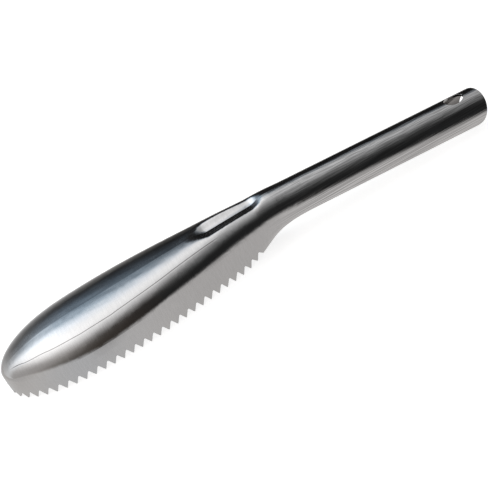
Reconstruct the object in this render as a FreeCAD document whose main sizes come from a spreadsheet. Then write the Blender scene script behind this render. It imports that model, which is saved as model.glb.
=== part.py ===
# A fish scaler pressed and rolled from one sheet of stainless steel.
# Lengths are in millimetres. The shape is drawn with the handle level, its axis on X at height 0,
# then tipped so that the teeth and the end of the handle stand on the plane z = 0.
import FreeCAD
import Part
import math
import os

V = FreeCAD.Vector
doc = FreeCAD.newDocument("fish_scaler")

# Driving sizes. The camera side of the head is -Y, the nose points to -X.
SIZES = [
    ("whole_length", 220.0),
    ("sheet_thickness", 1.0),
    ("handle_radius", 7.9),
    ("seam_gap", 0.3),
    ("end_setback", 5.0),
    ("end_slant", 3.1),
    ("end_slant_turn", 50.0),
    ("head_half_width", 17.8),
    ("widest_at", 42.0),
    ("neck_at", 131.0),
    ("nose_plan_fullness", 2.5),
    ("nose_drop", 23.3),
    ("shoulder_drop", 13.8),
    ("shoulder_end", 122.0),
    ("dome_height", 8.5),
    ("dome_nose_length", 30.0),
    ("dome_fullness", 0.66),
    ("wall_lean", 0.7),
    ("neck_blend", 34.0),
    ("curl_start", 101.0),
    ("curl_length", 35.0),
    ("teeth_end", 112.0),
    ("tooth_pitch", 4.08),
    ("tooth_height", 3.3),
    ("tooth_land", 0.3),
    ("gullet_radius", 0.35),
    ("groove_start", 94.5),
    ("groove_length", 19.5),
    ("groove_half_width", 4.3),
    ("groove_depth", 1.8),
    ("hole_from_end", 11.0),
    ("hole_half_length", 4.3),
    ("hole_half_width", 3.05),
]

sheet = doc.addObject("Spreadsheet::Sheet", "Sizes")
for row, (name, value) in enumerate(SIZES, start=1):
    sheet.set("A%d" % row, name)
    sheet.set("B%d" % row, str(value))
    sheet.setAlias("B%d" % row, name)
doc.recompute()


def size(name):
    return float(sheet.get(name))


LENGTH = size("whole_length")
SHEET = size("sheet_thickness")
RADIUS = size("handle_radius")
WIDEST = size("widest_at")
NECK = size("neck_at")
ROUND = 0.5523  # arm of a cubic arc that draws a quarter circle
NOSE_STEPS = 9
GULLET_FLATS = 5  # short flats that round the root of a notch
TEETH_FROM = 0.6  # share of the wall above the strip that carries the teeth


def clamp(value):
    return max(0.0, min(1.0, value))


def mix(a, b, share):
    return a + (b - a) * share


def ease(value):
    t = clamp(value)
    return t * t * (3.0 - 2.0 * t)


# Guide curves along the handle axis.

def half_width(x):
    wide = size("head_half_width")
    if x < WIDEST:
        fall = (1.0 - x / WIDEST) ** size("nose_plan_fullness")
        return wide * (1.0 - fall) ** (1.0 / 2.1)
    along = clamp((x - WIDEST) / (NECK - WIDEST)) ** 1.05
    return RADIUS + (wide - RADIUS) * 0.5 * (1.0 + math.cos(math.pi * along))


def neck_share(x):
    return ease(1.0 + (x - NECK) / size("neck_blend"))


def shoulder(x):
    return -size("shoulder_drop") * clamp(1.0 - x / size("shoulder_end"))


def dome(x):
    rise = (1.0 - clamp(1.0 - x / size("dome_nose_length")) ** 2.0) ** (1.0 / 1.65)
    return mix(size("dome_height") * rise, RADIUS, neck_share(x))


def tooth_line(x):
    nose = -size("nose_drop")
    return mix(nose, -RADIUS, x / LENGTH)


def arm(x):
    return mix(size("dome_fullness"), ROUND, neck_share(x))


def stations():
    ticks = [0.0, 1.0 / 3.0] + [float(i) for i in range(1, NOSE_STEPS + 1)]
    xs = [WIDEST * (t / NOSE_STEPS) ** 2 for t in ticks]
    while xs[-1] < size("curl_start") + size("curl_length") + 8.0 or xs[-1] < NECK + 10.0:
        x = xs[-1]
        xs.append(x + mix(9.0, 4.2, ease((x - WIDEST) / 50.0)))
    return xs


XS = stations()
RINGS = range(len(XS))


def outline(index, inset):
    """Plan point of the widest line, moved inwards, and the inward direction there."""
    x = XS[index]
    w = half_width(x)
    if index == 0:
        return V(inset, 0.0, 0.0), V(1.0, 0.0, 0.0)
    if x >= WIDEST:
        return V(x, w - inset, 0.0), V(0.0, -1.0, 0.0)
    step = min(0.01, 0.5 * x)
    ahead = V(x + step, half_width(x + step), 0.0)
    behind = V(x - step, half_width(x - step), 0.0)
    along = (ahead - behind).normalize()
    inward = V(along.y, -along.x, 0.0)
    point = V(x, w, 0.0) + inward * inset
    if index == 1:
        point.x = inset
        inward = V(1.0, 0.0, 0.0)
        point.y = w * (1.0 - inset / 10.0)
    return point, inward


def crown(index, inset):
    """Side-view point of the top line, moved inwards."""
    x = XS[index]
    z = shoulder(x) + dome(x)
    if index == 0:
        return V(inset, 0.0, z)
    step = min(0.01, 0.5 * x)
    rise = shoulder(x + step) + dome(x + step) - shoulder(x - step) - dome(x - step)
    along = V(2.0 * step, 0.0, rise).normalize()
    point = V(x, 0.0, z) + V(along.z, 0.0, -along.x) * inset
    if index == 1:
        point.x = inset
    return point


def upper_ring(index, inset):
    top = crown(index, inset)
    side, inward = outline(index, inset)
    base = shoulder(XS[index])
    side.z = base
    reach = arm(XS[index])
    if index == 0:
        return [side] * 4
    shoulder_point = V(side.x, side.y, mix(base, top.z, reach))
    return [top, V(top.x, side.y * reach, top.z), shoulder_point, side]


def lower_ring(index, inset):
    x = XS[index]
    side, inward = outline(index, inset)
    base = shoulder(x)
    outer, _ = outline(index, 0.0)
    fall = base - tooth_line(x)
    lean = size("wall_lean")
    curl = ease((x - size("curl_start")) / size("curl_length"))
    gap = 0.5 * size("seam_gap")
    start = V(outer.x, outer.y, base)
    if index == 0:
        outer_rim = V(lean, 0.0, base - fall)
        middle = V(0.5 * lean, 0.0, base - 0.67 * fall)
    else:
        outer_rim = start + inward * lean - V(0.0, 0.0, fall)
        middle = start + inward * (0.5 * lean) - V(0.0, 0.0, 0.67 * fall)
    round_rim = V(x, gap, -RADIUS)
    round_middle = V(x, RADIUS * ROUND, -RADIUS)
    drop = mix(0.33 * fall, RADIUS * ROUND, curl)
    p0 = start
    p1 = start - V(0.0, 0.0, drop)
    p2 = mix(middle, round_middle, curl)
    p3 = mix(outer_rim, round_rim, curl)
    if inset == 0.0:
        return [p0, p1, p2, p3]
    run = p3 - p2
    flat = run.dot(inward)
    level = V(inward) * (-run.z) + V(0.0, 0.0, flat)
    level.normalize()
    q3 = p3 + level * inset
    q0 = V(side.x, side.y, base)
    q3.y = max(q3.y, gap if index else 0.0)
    share = (q3 - q0).Length / (p3 - p0).Length
    return [q0, q0 + (p1 - p0) * share, q3 + (p2 - p3) * share, q3]


def skin(rings):
    count = len(rings)
    spans = count - 3
    knots = [float(i) for i in range(spans + 1)]
    mults = [4] + [1] * (spans - 1) + [4]
    surface = Part.BSplineSurface()
    surface.buildFromPolesMultsKnots(rings, mults, [4, 4], knots, [0.0, 1.0], False, False, 3, 3)
    return surface


def spread(low, high, count):
    return [low + (high - low) * i / count for i in range(count + 1)]


def u_at(x):
    """Surface parameter of the first ring at or past x."""
    return min(i for i, at in enumerate(XS) if at >= x) - 1.0


def groove_net(surface, start, end, half):
    """Add control points where the lips of the groove turn."""
    first = u_at(start - half) - 1.0
    last = u_at(end + half)
    for u in spread(first + 0.5, first + 1.5, 2) + spread(last - 1.5, last - 0.5, 2):
        surface.insertUKnot(u, 1, 1e-7)
    for v in (0.1, 0.18, 0.24, 0.3):
        surface.insertVKnot(v, 1, 1e-7)


def press_groove(surface, inset):
    """Push the control points of the dome down along the groove."""
    start = size("groove_start")
    end = start + size("groove_length")
    half = size("groove_half_width") + 0.3 * inset
    groove_net(surface, start, end, half)
    for i in range(1, surface.NbUPoles + 1):
        for j in range(1, surface.NbVPoles + 1):
            pole = surface.getPole(i, j)
            along = max(start - pole.x, 0.0, pole.x - end)
            away = math.hypot(along, pole.y) / half
            if away < 1.0:
                down = size("groove_depth") * (1.0 - away * away)
                surface.setPole(i, j, V(pole.x, pole.y, pole.z - down))
    return surface


def mirrored(face):
    return face.mirror(V(0, 0, 0), V(0, 1, 0))


def lengths():
    """Parameters that split the skins behind the nose, and in front of and behind the groove."""
    reach = size("groove_half_width") + 2.0
    start = size("groove_start")
    end = start + size("groove_length")
    ends = [u_at(start - reach) - 1.0, u_at(end + reach)]
    return [0.0, u_at(0.6 * WIDEST)] + ends + [float(len(XS) - 3)]


def piece(surface, low, high, top=0.0, foot=1.0):
    part = surface.copy()
    part.segment(low, high, top, foot)
    return part


def strip(outer, inner):
    return Part.makeRuledSurface(outer.toShape(), inner.toShape()).Faces


def end_at(pole, hand):
    """Where the slanted end cut meets a line along the tube. The -Y side, up from level, is the longest."""
    turn = math.radians(size("end_slant_turn"))
    toward = pole.z * math.sin(turn) - hand * pole.y * math.cos(turn)
    return LENGTH - size("end_slant") * (1.0 - toward / RADIUS)


def tube_rings(inset, hand):
    """Rings of the straight run: its start, a place before the hanging hole, and its end."""
    last = len(XS) - 1
    place = LENGTH - size("hole_from_end") - 2.0 * size("hole_half_length")
    sets = []
    for ring, setback in ((upper_ring(last, inset), 0.0), (lower_ring(last, inset), size("end_setback"))):
        near = [V(XS[-1], pole.y, pole.z) for pole in ring]
        middle = [V(place, pole.y, pole.z) for pole in ring]
        end = [V(end_at(pole, hand), pole.y, pole.z) for pole in ring]
        end[3].x -= setback
        sets.append([near, middle, end])
    return sets


def straight(first, second, low, high):
    surface = Part.BSplineSurface()
    surface.buildFromPolesMultsKnots(
        [first, second], [2, 2], [4, 4], [0.0, 1.0], [0.0, 1.0], False, False, 1, 3)
    surface.segment(0.0, 1.0, low, high)
    return surface


def tube_faces(hand):
    """Straight run on +Y; its last stretch is split so that few facets are spent round the hole."""
    faces = []
    for outer, inner in zip(tube_rings(0.0, hand), tube_rings(SHEET, hand)):
        below = outer[0][3].z < -0.5 * RADIUS
        for i, low, high in ((0, 0.0, 1.0), (1, 0.0, 0.5), (1, 0.5, 1.0)):
            skins = [straight(rings[i], rings[i + 1], low, high) for rings in (outer, inner)]
            faces += [surface.toShape() for surface in skins]
            if below and high == 1.0:
                faces += strip(skins[0].vIso(high), skins[1].vIso(high))
            if i == 1:
                faces += strip(skins[0].uIso(1.0), skins[1].uIso(1.0))
    return faces


def sheet_solid():
    """Outer and inner skins, the cut rim and the end of the handle, sewn into one solid."""
    cuts = lengths()
    faces = []
    for low, high in zip(cuts[:-1], cuts[1:]):
        layers = []
        for inset in (0.0, SHEET):
            upper = piece(skin([upper_ring(i, inset) for i in RINGS]), low, high)
            wall = skin([lower_ring(i, inset) for i in RINGS])
            rim = piece(wall, low, high, TEETH_FROM, 1.0)
            if low == cuts[2]:
                upper = press_groove(upper, inset)
            layers.append(rim)
            faces += [upper.toShape(), piece(wall, low, high, 0.0, TEETH_FROM).toShape(), rim.toShape()]
        faces += strip(layers[0].vIso(1.0), layers[1].vIso(1.0))
    faces += [mirrored(face) for face in faces]
    faces += tube_faces(1.0) + [mirrored(face) for face in tube_faces(-1.0)]
    shape = Part.makeCompound(faces)
    shape.sewShape(0.002)
    return Part.makeSolid(shape.Shells[0])


def notch(radius):
    """Outline of one notch in the plane x-z, mouth on z = 0, root at the tooth height."""
    half = 0.5 * (size("tooth_pitch") - size("tooth_land"))
    high = size("tooth_height")
    slope = math.atan2(high, half)
    for _ in range(4):
        sharp = high + radius * (1.0 / math.cos(slope) - 1.0)
        slope = math.atan2(sharp, half)
    middle = high - radius
    turns = [slope * (1.0 - 2.0 * i / GULLET_FLATS) for i in range(GULLET_FLATS + 1)]
    root = [V(radius * math.sin(turn), 0.0, middle + radius * math.cos(turn)) for turn in turns]
    right = [V(half, 0.0, -1.2), V(half, 0.0, 0.0)]
    left = [V(-half, 0.0, 0.0), V(-half, 0.0, -1.2)]
    return Part.Face(Part.makePolygon(right + root + left + right[:1]))


def notch_count(rim):
    """Notches that fit on one side between the nose and the end of the teeth."""
    index = min(i for i, x in enumerate(XS) if x >= size("teeth_end"))
    share = (size("teeth_end") - XS[index - 1]) / (XS[index] - XS[index - 1])
    end = index - 2.0 + share
    return int(rim.length(rim.FirstParameter, end) / size("tooth_pitch"))


def notch_tools(surface):
    rim = surface.vIso(1.0)
    pitch = size("tooth_pitch")
    profile = notch(size("gullet_radius"))
    tools = []
    for k in range(notch_count(rim) + 1):
        u = rim.parameterAtDistance(k * pitch, rim.FirstParameter) if k else rim.FirstParameter
        point = rim.value(u)
        along = V(rim.tangent(u)[0])
        if k == 0:
            along = V(0.0, 1.0, 0.0)
        drop = surface.value(u, 1.0) - surface.value(u, 0.9)
        up = (drop * -1.0 - along * (drop * -1.0).dot(along)).normalize()
        out = up.cross(along).normalize()
        frame = FreeCAD.Matrix(
            along.x, out.x, up.x, point.x,
            along.y, out.y, up.y, point.y,
            along.z, out.z, up.z, point.z,
            0.0, 0.0, 0.0, 1.0)
        tool = profile.extrude(V(0.0, 6.0, 0.0))
        tool.translate(V(0.0, -3.0, 0.0))
        tool.Placement = FreeCAD.Placement(frame).multiply(tool.Placement)
        tools.append(tool)
        if k:
            tools.append(mirrored(tool))
    return tools



pressed = doc.addObject("Part::Feature", "PressedSheet")
pressed.Label = "Pressed and rolled sheet with cut teeth"
whole_sheet = sheet_solid()
wall = skin([lower_ring(i, 0.0) for i in RINGS])
pressed.Shape = whole_sheet.cut(notch_tools(wall))

oval = doc.addObject("Part::Ellipse", "HoleOval")
oval.Label = "Oval of the hanging hole"
oval.setExpression("MajorRadius", "Sizes.hole_half_length")
oval.setExpression("MinorRadius", "Sizes.hole_half_width")
oval.Placement = FreeCAD.Placement(V(0.0, 0.0, 0.0), FreeCAD.Rotation())
oval.setExpression("Placement.Base.x", "Sizes.whole_length - Sizes.hole_from_end")
oval.setExpression("Placement.Base.z", "0 * Sizes.handle_radius")

punch = doc.addObject("Part::Extrusion", "HolePunch")
punch.Label = "Punch of the hanging hole"
punch.Base = oval
punch.DirMode = "Custom"
punch.Dir = V(0.0, 0.0, 1.0)
punch.Solid = True
punch.setExpression("LengthFwd", "2 * Sizes.handle_radius")

scaler = doc.addObject("Part::Cut", "Scaler")
scaler.Label = "Fish scaler"
scaler.Base = pressed
scaler.Tool = punch
scaler.Placement = FreeCAD.Placement(V(0.0, 0.0, 0.0), FreeCAD.Rotation(V(0.0, 1.0, 0.0), 1.0))
TIP = "atan((Sizes.nose_drop - Sizes.handle_radius) / Sizes.whole_length)"
scaler.setExpression("Placement.Rotation.Angle", TIP)
scaler.setExpression("Placement.Base.z", "Sizes.nose_drop * cos(" + TIP + ")")
doc.recompute()
box = scaler.Shape.BoundBox
scaler.setExpression("Placement.Base.x", str(-0.5 * (box.XMin + box.XMax)))
doc.recompute()

for item in doc.Objects:
    if "Invalid" in item.State or "Error" in item.State:
        raise RuntimeError(item.Name + " did not rebuild")
    if hasattr(item, "Shape") and (item.Shape.isNull() or not item.Shape.isValid()):
        raise RuntimeError(item.Name + " has a faulty shape")
if len(scaler.Shape.Solids) != 1:
    raise RuntimeError("the scaler is not one solid")
if scaler.Shape.Volume > pressed.Shape.Volume - 1.0:
    raise RuntimeError("the hanging hole cut nothing")

os.makedirs("parts", exist_ok=True)
scaler.Shape.exportStep("parts/scaler.step")
print("teeth and sheet", whole_sheet.Volume, pressed.Shape.Volume, scaler.Shape.Volume)
print("box", scaler.Shape.BoundBox)
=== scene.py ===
import bpy
import math
from mathutils import Matrix, Vector

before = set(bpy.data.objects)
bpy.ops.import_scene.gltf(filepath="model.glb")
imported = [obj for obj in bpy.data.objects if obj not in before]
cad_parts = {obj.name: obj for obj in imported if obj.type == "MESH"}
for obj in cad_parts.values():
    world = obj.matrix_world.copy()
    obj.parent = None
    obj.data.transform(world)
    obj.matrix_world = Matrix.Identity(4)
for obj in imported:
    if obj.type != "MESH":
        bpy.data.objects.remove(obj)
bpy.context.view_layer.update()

# The light, as brightness by direction. An angle in degrees goes round the handle: 0 is the
# front horizon, 90 is up, 180 is the horizon behind, and minus is towards the table. A share
# goes along the handle: -1 is past the nose and 1 is past the handle's end. A brightness is
# one number where it is grey, or else red, green and blue.
GLOW = 1.6
WHITE = (1.0, 1.0, 1.0)

# Table. Its edge is an angle that rises towards the nose, and the fade is measured from it.
FADE_REACH = 240.0
TABLE_EDGE = [
    (-1.0, 30.0), (-0.85, 22.0), (-0.7, 9.0), (-0.55, 0.0), (-0.4, -11.0), (-0.28, -21.0),
    (-0.15, -29.0), (-0.03, -37.0), (0.08, -27.0), (0.17, -22.0), (0.27, -15.0), (0.38, -25.0),
    (1.0, -25.0),
]
TABLE_TONE = [
    (-1.0, (0.33, 0.32, 0.312)), (-0.7, (0.385, 0.374, 0.365)), (-0.2, (0.365, 0.365, 0.368)),
    (0.1, (0.37, 0.362, 0.357)), (0.3, (0.345, 0.335, 0.328)), (1.0, (0.31, 0.3, 0.295)),
]
TABLE_FADE = [
    (-240.0, 1.0), (-12.0, 1.0), (-4.0, 0.72), (3.0, 0.3), (11.0, 0.05), (18.0, 0.0), (240.0, 0.0),
]
TABLE_BEHIND = [(-180.0, 0.45), (-168.0, 1.0), (158.0, 1.0), (180.0, 1.0)]
TABLE_RISE = [(-180.0, 0.0), (162.0, 0.0), (180.0, 0.45)]

# Dark patch that hides the table's far side past the handle's end.
HIDDEN_ROUND = [
    (-180.0, 1.0), (-172.0, 1.0), (-162.0, 0.0), (150.0, 0.0), (165.0, 1.0), (180.0, 1.0),
]
HIDDEN_ALONG = [(-1.0, 0.0), (-0.12, 0.0), (0.0, 0.4), (0.12, 0.95), (1.0, 0.95)]

# Lamp above. A lean is how many degrees its near or far edge moves on along the handle.
LAMP_RISE_LEAN = [
    (-1.0, 13.0), (-0.6, 11.0), (-0.45, 4.0), (-0.3, 0.0), (-0.14, -5.0), (-0.03, 5.0),
    (0.1, 13.0), (0.19, 7.0), (0.3, -7.0), (0.38, 1.0), (1.0, 1.0),
]
LAMP_RISE = [
    (-180.0, 0.0), (28.0, 0.0), (40.0, 0.03), (52.0, 0.11), (64.0, 0.25), (76.0, 0.45),
    (88.0, 0.68), (98.0, 0.86), (108.0, 0.97), (118.0, 1.0), (180.0, 1.0),
]
LAMP_FALL_LEAN = [
    (-1.0, 13.0), (-0.6, 12.0), (-0.45, 5.0), (-0.25, 1.0), (-0.1, -4.0), (0.05, -5.0),
    (0.2, -10.0), (0.35, -8.0), (1.0, -8.0),
]
LAMP_FALL = [
    (-180.0, 1.0), (112.0, 1.0), (124.0, 0.94), (131.0, (0.79, 0.8, 0.82)),
    (137.0, (0.38, 0.41, 0.44)), (143.0, (0.07, 0.08, 0.09)), (150.0, 0.0), (180.0, 0.0),
]
LAMP_ALONG = [
    (-1.0, 0.0), (-0.85, 0.05), (-0.75, 0.12), (-0.65, 0.31), (-0.55, 0.58), (-0.42, 0.79),
    (-0.2, 0.84), (-0.05, 0.76), (0.1, 0.72), (0.25, 0.46), (0.35, 0.35), (0.5, 0.28),
    (1.0, 0.25),
]

# Bluish haze past the lamp's far edge.
HAZE_ROUND = [
    (-180.0, 0.0), (112.0, 0.0), (124.0, (0.02, 0.05, 0.08)), (136.0, (0.14, 0.2, 0.255)),
    (147.0, (0.06, 0.088, 0.118)), (157.0, (0.008, 0.014, 0.021)), (168.0, 0.0),
]
HAZE_ALONG = [
    (-1.0, 0.0), (-0.7, 0.15), (-0.5, 0.5), (-0.3, 0.85), (-0.1, 1.0), (0.02, 0.3), (0.1, 0.0),
    (1.0, 0.0),
]

# Dim room, paler past the nose. High up takes over from low down by the angle.
ROOM_LOW = [
    (-1.0, (0.3, 0.285, 0.27)), (-0.85, (0.29, 0.275, 0.26)), (-0.65, (0.17, 0.155, 0.145)),
    (-0.5, (0.13, 0.12, 0.11)), (-0.3, (0.085, 0.078, 0.072)), (-0.12, (0.045, 0.039, 0.034)),
    (0.02, (0.028, 0.024, 0.021)), (0.14, (0.021, 0.018, 0.016)), (0.24, 0.012), (1.0, 0.01),
]
ROOM_HIGH = [
    (-1.0, (0.28, 0.27, 0.262)), (-0.65, (0.255, 0.243, 0.235)), (-0.4, (0.235, 0.222, 0.213)),
    (-0.22, (0.18, 0.168, 0.16)), (-0.1, (0.075, 0.069, 0.065)), (0.05, (0.027, 0.023, 0.021)),
    (0.18, 0.017), (0.3, 0.012), (1.0, 0.01),
]
ROOM_ROUND = [
    (-180.0, 0.0), (-14.0, 0.0), (10.0, 0.3), (30.0, 0.75), (50.0, 1.0), (180.0, 1.0),
]
BACK_ALONG = [
    (-1.0, 0.46), (-0.75, 0.43), (-0.6, 0.3), (-0.45, 0.12), (-0.3, 0.075), (-0.1, 0.03),
    (0.05, 0.01), (1.0, 0.005),
]
BACK_ROUND = [(-180.0, 0.0), (120.0, 0.0), (155.0, 1.0), (180.0, 1.0)]

# Patterns of the steel: features for each metre along X, Y and Z, then the amount of detail.
GRAIN_ACROSS = ((1900.0, 230.0, 230.0), 3.0)
GRAIN_ALONG = ((18.0, 1700.0, 1700.0), 2.0)
CLOUDS = ((55.0, 130.0, 130.0), 2.0)
SMUDGES = ((120.0, 240.0, 240.0), 4.0)

# What is used of each pattern, from its low to its high values, and how far the fine grain
# goes to both sides of the middle.
ACROSS_USED = (0.2, 0.8)
ALONG_USED = (0.34, 0.66)
SMUDGES_USED = (0.3, 0.7)
FINE_SHARE = 0.075

# Finish of the steel: the least and the most roughness, what the grain adds to it, and colours.
ROUGHNESS = (0.1, 0.16)
GRAIN_ROUGHNESS = (-0.015, 0.02)
DARK_GRAIN = (0.53, 0.528, 0.53)
BRIGHT_GRAIN = (0.79, 0.79, 0.795)
CUT_COLOR = (0.8, 0.8, 0.8)
# Painted reflection: the dark line on the head's top where the lamp's edge reflects.
PAINTED_LINE_COLOR = (0.2, 0.19, 0.185)
# Painted shade: how much the inside of the handle is darkened.
PAINTED_INSIDE_SHADE = (0.45, 0.44, 0.43)

# Relief in metres. A minus depth is pressed in.
GRAIN_DEPTH = 0.000012
CLOUD_DEPTH = 0.0001
LINE_DEPTH = -0.00003
EDGE_ROUND = 0.00018
EDGE_SAMPLES = 4

# Where the grain goes over to the handle's drawn lines, in metres along X, and how alike the
# rounded and the flat normal are on a plain face and on a cut edge.
HANDLE_GRAIN = (0.002, 0.03)
PLAIN_LIKENESS = 0.97
EDGE_LIKENESS = 0.8

# Painted shade inside the handle, in metres with the handle level. The middle of the wall is
# measured from the axis, the painted shade fades in that far on both sides of it, and it begins
# that far from the nose.
TUBE_MIDDLE = 0.0074
TUBE_CHANGE = 0.0002
TUBE_FROM = (0.13, 0.14)

# Dark line painted along the near side of the head's top where the lamp's edge reflects, with a
# shallow
# groove, in metres: half its width, how long its ends fade, and its path by X and Y. It is only on
# faces that look up, by the Z of their normal.
LINE_HALF = 0.00022
LINE_END = 0.004
LINE_UPWARD = (0.2, 0.4)
LINE_PATH = [
    (-0.107, -0.004), (-0.1, -0.0076), (-0.09, -0.0107), (-0.076, -0.0125), (-0.06, -0.0122),
    (-0.036, -0.0099), (-0.012, -0.0073),
]

# The part rests on its teeth and on the end of its handle. Sizes in millimetres: how far the
# teeth at the nose are below the handle's axis, and the middle of the part along that axis.
MILLIMETRE = 0.001
WHOLE_LENGTH = 220.0
HANDLE_RADIUS = 7.9
NOSE_DROP = 23.3
MIDDLE = 109.374
TILT = math.atan2(NOSE_DROP - HANDLE_RADIUS, WHOLE_LENGTH)
TURN = Matrix.Rotation(TILT, 3, "Y")
SHIFT = Vector((-MIDDLE, 0.0, NOSE_DROP * math.cos(TILT)))

# Camera of the photograph, with the handle level, in degrees, millimetres and pixels. Its
# nearest distance is in metres.
CAMERA_AROUND = -12.593
CAMERA_HEIGHT = 37.664
CAMERA_ROLL = -19.033
CAMERA_DISTANCE = 445.33
CAMERA_TARGET = (107.233, 0.0, -9.764)
FOCAL_PIXELS = 1114.4
IMAGE_WIDTH = 488.0
SENSOR_WIDTH = 36.0
CLIP_START = 0.01

# Floor: half its width in metres, its colour, and the strength of what only the camera sees.
FLOOR_HALF = 1.5
FLOOR_COLOR = (0.8, 0.8, 0.8)
FLOOR_GLOW = 0.8

# Sockets of a mix node for numbers and for colours: share, first, second and result.
NUMBER_SOCKETS = (0, 2, 3, 0)
COLOR_SOCKETS = (0, 6, 7, 2)


def node(tree, kind, **values):
    item = tree.nodes.new(kind)
    for key, value in values.items():
        setattr(item, key, value)
    return item


def opaque(color):
    return color + (1.0,)


def feed(tree, socket, value):
    """Put a number or a colour on the socket, or link another node's output to it."""
    if isinstance(value, float):
        socket.default_value = value
    elif isinstance(value, tuple):
        socket.default_value = opaque(value)
    else:
        tree.links.new(value, socket)


def calculate(tree, operation, first, second=None):
    item = node(tree, "ShaderNodeMath", operation=operation)
    feed(tree, item.inputs[0], first)
    if second is not None:
        feed(tree, item.inputs[1], second)
    return item.outputs[0]


def spread(tree, value, low, high, least=0.0, most=1.0):
    """Number from least to most, smoothly, as the value goes from low to high."""
    item = node(tree, "ShaderNodeMapRange", interpolation_type="SMOOTHSTEP")
    limits = (("From Min", low), ("From Max", high), ("To Min", least), ("To Max", most))
    for name, number in limits:
        item.inputs[name].default_value = number
    tree.links.new(value, item.inputs["Value"])
    return item.outputs[0]


def fill_mix(tree, item, sockets, share, first, second):
    for index, value in zip(sockets, (share, first, second)):
        feed(tree, item.inputs[index], value)
    return item.outputs[sockets[3]]


def mix(tree, share, first, second):
    """Number that goes from the first to the second with the share."""
    item = node(tree, "ShaderNodeMix", data_type="FLOAT")
    return fill_mix(tree, item, NUMBER_SOCKETS, share, first, second)


def blend(tree, kind, first, second, share=1.0):
    """Colour of the first with the second mixed, multiplied, added or subtracted by the share."""
    item = node(tree, "ShaderNodeMix", data_type="RGBA", blend_type=kind)
    return fill_mix(tree, item, COLOR_SOCKETS, share, first, second)


def mix_shaders(tree, share, first, second):
    item = node(tree, "ShaderNodeMixShader")
    for socket, value in zip(item.inputs, (share, first, second)):
        tree.links.new(value, socket)
    return item.outputs[0]


def ramp(tree, source, low, high, stops):
    """Colour that follows the given stops as the source goes from low to high."""
    shares = node(tree, "ShaderNodeMapRange")
    shares.inputs["From Min"].default_value = low
    shares.inputs["From Max"].default_value = high
    tree.links.new(source, shares.inputs["Value"])
    item = node(tree, "ShaderNodeValToRGB")
    item.color_ramp.interpolation = "CARDINAL"
    elements = item.color_ramp.elements
    while len(elements) > 1:
        elements.remove(elements[-1])
    for i, (place, color) in enumerate(stops):
        if not isinstance(color, tuple):
            color = (color, color, color)
        share = (place - low) / (high - low)
        element = elements[0] if i == 0 else elements.new(share)
        element.position = share
        element.color = opaque(color)
    tree.links.new(shares.outputs[0], item.inputs[0])
    return item.outputs["Color"]


def around(tree, turn, stops):
    """Brightness by the angle round the handle."""
    return ramp(tree, turn, -180.0, 180.0, stops)


def lengthwise(tree, along, stops):
    """Brightness by the share along the handle."""
    return ramp(tree, along, -1.0, 1.0, stops)


def curve(tree, source, stops, low=-1.0, high=1.0):
    """Number that follows the given stops as the source goes from low to high."""
    values = [value for place, value in stops]
    least, most = min(values), max(values)
    shares = [(place, (value - least) / (most - least)) for place, value in stops]
    item = node(tree, "ShaderNodeMapRange")
    item.inputs["To Min"].default_value = least
    item.inputs["To Max"].default_value = most
    tree.links.new(ramp(tree, source, low, high, shares), item.inputs["Value"])
    return item.outputs[0]


def noise(tree, place, scale, detail):
    """Noise with its own number of features for each metre along X, Y and Z."""
    stretch = node(tree, "ShaderNodeVectorMath", operation="MULTIPLY")
    stretch.inputs[1].default_value = scale
    tree.links.new(place, stretch.inputs[0])
    item = node(tree, "ShaderNodeTexNoise")
    item.inputs["Scale"].default_value = 1.0
    item.inputs["Detail"].default_value = detail
    tree.links.new(stretch.outputs[0], item.inputs["Vector"])
    return item.outputs[0]


def bump(tree, height, depth, normal):
    item = node(tree, "ShaderNodeBump", invert=depth < 0.0)
    item.inputs["Strength"].default_value = 1.0
    item.inputs["Distance"].default_value = abs(depth)
    tree.links.new(height, item.inputs["Height"])
    tree.links.new(normal, item.inputs["Normal"])
    return item.outputs[0]


def separate(tree, vector):
    """X, Y and Z of a vector, each by its name."""
    item = node(tree, "ShaderNodeSeparateXYZ")
    tree.links.new(vector, item.inputs[0])
    return item.outputs


def steel_grain(tree, place, along):
    """Fine grain across the head and the groove, which goes over to drawn lines on the handle."""
    finest = (0.5 - FINE_SHARE, 0.5 + FINE_SHARE)
    across = spread(tree, noise(tree, place, *GRAIN_ACROSS), *ACROSS_USED, *finest)
    drawn = spread(tree, noise(tree, place, *GRAIN_ALONG), *ALONG_USED)
    return mix(tree, spread(tree, along, *HANDLE_GRAIN), across, drawn)


def cut_edge(tree, rounded):
    """Share of a cut edge: where the rounded normal leaves the flat one."""
    flat = node(tree, "ShaderNodeNewGeometry").outputs["Normal"]
    same = node(tree, "ShaderNodeVectorMath", operation="DOT_PRODUCT")
    tree.links.new(rounded, same.inputs[0])
    tree.links.new(flat, same.inputs[1])
    return spread(tree, same.outputs["Value"], PLAIN_LIKENESS, EDGE_LIKENESS)


def painted_reflection_and_groove(tree, parts):
    """Share of a fine dark line along the near side of the head's top, where the lamp's edge
    reflects: a painted reflection in the colour and a shallow groove in the relief.
    """
    along = parts["X"]
    first, last = LINE_PATH[0][0], LINE_PATH[-1][0]
    middle = curve(tree, along, LINE_PATH, first, last)
    away = calculate(tree, "ABSOLUTE", calculate(tree, "SUBTRACT", parts["Y"], middle))
    near = spread(tree, away, 0.0, LINE_HALF, 1.0, 0.0)
    begins = spread(tree, along, first, first + LINE_END)
    ends = spread(tree, along, last - LINE_END, last, 1.0, 0.0)
    facing = separate(tree, node(tree, "ShaderNodeNewGeometry").outputs["Normal"])
    upward = spread(tree, facing["Z"], *LINE_UPWARD)
    shown = calculate(tree, "MULTIPLY", calculate(tree, "MULTIPLY", begins, ends), upward)
    return calculate(tree, "MULTIPLY", near, shown)


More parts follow.
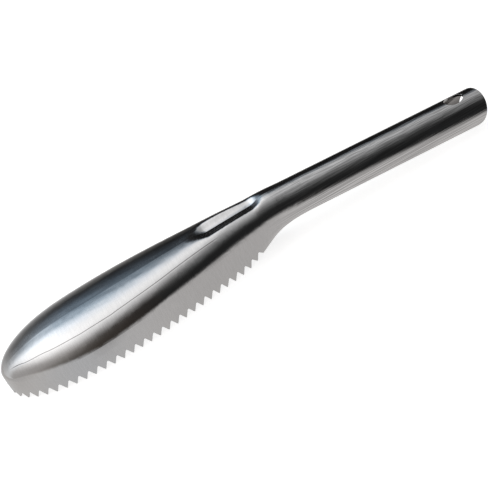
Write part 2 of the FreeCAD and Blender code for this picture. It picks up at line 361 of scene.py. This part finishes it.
def painted_shade_inside_tube(tree, place):
    """Share of painted shade inside the handle, nearer its axis than the middle of the wall."""
    level = node(tree, "ShaderNodeMapping", vector_type="TEXTURE")
    level.inputs["Location"].default_value = SHIFT * MILLIMETRE
    level.inputs["Rotation"].default_value = (0.0, TILT, 0.0)
    tree.links.new(place, level.inputs["Vector"])
    parts = separate(tree, level.outputs[0])
    out = calculate(tree, "POWER", parts["Y"], 2.0)
    high = calculate(tree, "POWER", parts["Z"], 2.0)
    radius = calculate(tree, "SQRT", calculate(tree, "ADD", out, high))
    inner = spread(tree, radius, TUBE_MIDDLE - TUBE_CHANGE, TUBE_MIDDLE + TUBE_CHANGE, 1.0, 0.0)
    return calculate(tree, "MULTIPLY", inner, spread(tree, parts["X"], *TUBE_FROM))


def steel_relief(tree, place, grain, line, rounded):
    """Normal of the steel: rounded edges, a soft unevenness, the grain and a shallow groove under
    the painted reflection line.
    """
    wavy = bump(tree, noise(tree, place, *CLOUDS), CLOUD_DEPTH, rounded)
    brushed = bump(tree, grain, GRAIN_DEPTH, wavy)
    return bump(tree, line, LINE_DEPTH, brushed)


def steel_roughness(tree, place, grain):
    smudged = spread(tree, noise(tree, place, *SMUDGES), *SMUDGES_USED, *ROUGHNESS)
    return calculate(tree, "ADD", smudged, spread(tree, grain, 0.0, 1.0, *GRAIN_ROUGHNESS))


def steel_color(tree, place, grain, line, rounded):
    """Colour of the steel: grain, brighter cut edges, a painted reflection line and painted shade
    inside the handle.
    """
    brushed = blend(tree, "MIX", DARK_GRAIN, BRIGHT_GRAIN, grain)
    cut = blend(tree, "MIX", brushed, CUT_COLOR, cut_edge(tree, rounded))
    # Painted reflection: a dark line where the lamp's edge reflects.
    lined = blend(tree, "MIX", cut, PAINTED_LINE_COLOR, line)
    # Painted shade: the inside of the handle is darkened.
    return blend(tree, "MULTIPLY", lined, PAINTED_INSIDE_SHADE, painted_shade_inside_tube(tree, place))


def steel():
    """Pressed stainless sheet."""
    material = bpy.data.materials.new("steel")
    material.use_nodes = True
    tree = material.node_tree
    shader = tree.nodes["Principled BSDF"]
    shader.inputs["Metallic"].default_value = 1.0
    place = node(tree, "ShaderNodeTexCoord").outputs["Object"]
    parts = separate(tree, place)
    grain = steel_grain(tree, place, parts["X"])
    line = painted_reflection_and_groove(tree, parts)
    bevel = node(tree, "ShaderNodeBevel", samples=EDGE_SAMPLES)
    bevel.inputs["Radius"].default_value = EDGE_ROUND
    rounded = bevel.outputs[0]
    relief = steel_relief(tree, place, grain, line, rounded)
    tree.links.new(relief, shader.inputs["Normal"])
    tree.links.new(steel_roughness(tree, place, grain), shader.inputs["Roughness"])
    color = steel_color(tree, place, grain, line, rounded)
    tree.links.new(color, shader.inputs["Base Color"])
    return material


def direction(tree):
    """Angle round the handle, in degrees, and share along it, of the direction of the light."""
    parts = separate(tree, node(tree, "ShaderNodeTexCoord").outputs["Generated"])
    front = calculate(tree, "MULTIPLY", parts["Y"], -1.0)
    angle = calculate(tree, "ARCTAN2", parts["Z"], front)
    return calculate(tree, "MULTIPLY", angle, math.degrees(1.0)), parts["X"]


def lamp_light(tree, turn, along):
    from_rise = calculate(tree, "SUBTRACT", turn, curve(tree, along, LAMP_RISE_LEAN))
    from_fall = calculate(tree, "SUBTRACT", turn, curve(tree, along, LAMP_FALL_LEAN))
    rise = around(tree, from_rise, LAMP_RISE)
    fall = around(tree, from_fall, LAMP_FALL)
    reach = lengthwise(tree, along, LAMP_ALONG)
    return blend(tree, "MULTIPLY", blend(tree, "MULTIPLY", rise, fall), reach)


def haze_light(tree, turn, along):
    reach = lengthwise(tree, along, HAZE_ALONG)
    return blend(tree, "MULTIPLY", around(tree, turn, HAZE_ROUND), reach)


def room_light(tree, turn, along):
    low = lengthwise(tree, along, ROOM_LOW)
    high = lengthwise(tree, along, ROOM_HIGH)
    front = blend(tree, "MIX", low, high, around(tree, turn, ROOM_ROUND))
    back = lengthwise(tree, along, BACK_ALONG)
    return blend(tree, "MIX", front, back, around(tree, turn, BACK_ROUND))


def table_share(tree, turn, along):
    """How much of the table shows in a direction, in place of the lamp, the haze and the room."""
    from_edge = calculate(tree, "SUBTRACT", turn, curve(tree, along, TABLE_EDGE))
    fade = ramp(tree, from_edge, -FADE_REACH, FADE_REACH, TABLE_FADE)
    under = blend(tree, "MULTIPLY", fade, around(tree, turn, TABLE_BEHIND))
    table = blend(tree, "ADD", under, around(tree, turn, TABLE_RISE))
    reach = lengthwise(tree, along, HIDDEN_ALONG)
    hidden = blend(tree, "MULTIPLY", around(tree, turn, HIDDEN_ROUND), reach)
    return blend(tree, "SUBTRACT", table, blend(tree, "MULTIPLY", table, hidden))


def studio():
    """World that lights the part and that the steel mirrors. The camera itself sees it white."""
    world = bpy.data.worlds.new("studio")
    bpy.context.scene.world = world
    world.use_nodes = True
    tree = world.node_tree
    tree.nodes.clear()
    turn, along = direction(tree)
    dim = blend(tree, "ADD", room_light(tree, turn, along), haze_light(tree, turn, along))
    lit = blend(tree, "ADD", dim, lamp_light(tree, turn, along))
    tone = lengthwise(tree, along, TABLE_TONE)
    glow = node(tree, "ShaderNodeBackground")
    glow.inputs["Strength"].default_value = GLOW
    whole = blend(tree, "MIX", lit, tone, table_share(tree, turn, along))
    tree.links.new(whole, glow.inputs["Color"])
    plain = node(tree, "ShaderNodeBackground")
    plain.inputs["Color"].default_value = opaque(WHITE)
    seen = node(tree, "ShaderNodeLightPath").outputs["Is Camera Ray"]
    out = node(tree, "ShaderNodeOutputWorld")
    tree.links.new(mix_shaders(tree, seen, glow.outputs[0], plain.outputs[0]), out.inputs[0])


def floor_finish():
    """Matt pale floor with a glow that only the camera sees. From below it is clear."""
    material = bpy.data.materials.new("floor")
    material.use_nodes = True
    tree = material.node_tree
    tree.nodes.clear()
    matt = node(tree, "ShaderNodeBsdfDiffuse")
    matt.inputs["Color"].default_value = opaque(FLOOR_COLOR)
    seen = node(tree, "ShaderNodeLightPath").outputs["Is Camera Ray"]
    pale = node(tree, "ShaderNodeEmission")
    tree.links.new(calculate(tree, "MULTIPLY", seen, FLOOR_GLOW), pale.inputs["Strength"])
    both = node(tree, "ShaderNodeAddShader")
    tree.links.new(matt.outputs[0], both.inputs[0])
    tree.links.new(pale.outputs[0], both.inputs[1])
    below = node(tree, "ShaderNodeNewGeometry").outputs["Backfacing"]
    clear = node(tree, "ShaderNodeBsdfTransparent").outputs[0]
    out = node(tree, "ShaderNodeOutputMaterial")
    tree.links.new(mix_shaders(tree, below, both.outputs[0], clear), out.inputs[0])
    return material


def floor():
    """Plain floor, left out of reflections: the steel mirrors the world's pale table instead."""
    mesh = bpy.data.meshes.new("floor")
    far = FLOOR_HALF
    corners = [(-far, -far, 0.0), (far, -far, 0.0), (far, far, 0.0), (-far, far, 0.0)]
    mesh.from_pydata(corners, [], [(0, 1, 2, 3)])
    mesh.materials.append(floor_finish())
    plane = bpy.data.objects.new("floor", mesh)
    bpy.context.scene.collection.objects.link(plane)
    plane.visible_glossy = False


def camera_axes():
    """Right, up and back of the camera, with the handle level."""
    az, el = math.radians(CAMERA_AROUND), math.radians(CAMERA_HEIGHT)
    roll = math.radians(CAMERA_ROLL)
    back = Vector((math.sin(az) * math.cos(el), -math.cos(az) * math.cos(el), math.sin(el)))
    right = Vector((math.cos(az), math.sin(az), 0.0))
    up = back.cross(right)
    side = math.cos(roll) * right + math.sin(roll) * up
    top = math.cos(roll) * up - math.sin(roll) * right
    return side, top, back


def camera():
    """Camera at the photograph's angle, turned with the part from a level handle to rest."""
    side, top, back = camera_axes()
    spot = Vector(CAMERA_TARGET) + back * CAMERA_DISTANCE
    at = (TURN @ spot + SHIFT) * MILLIMETRE
    side, top, back = TURN @ side, TURN @ top, TURN @ back
    data = bpy.data.cameras.new("camera")
    data.sensor_width = SENSOR_WIDTH
    data.lens = FOCAL_PIXELS * SENSOR_WIDTH / IMAGE_WIDTH
    data.clip_start = CLIP_START
    shooter = bpy.data.objects.new("camera", data)
    bpy.context.scene.collection.objects.link(shooter)
    rows = [(side[i], top[i], back[i], at[i]) for i in range(3)]
    shooter.matrix_world = Matrix(rows + [(0.0, 0.0, 0.0, 1.0)])
    bpy.context.scene.camera = shooter


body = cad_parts["scaler"]
for slot in body.material_slots:
    slot.material = steel()
studio()
floor()
camera()
bpy.context.scene.view_settings.view_transform = "Standard"
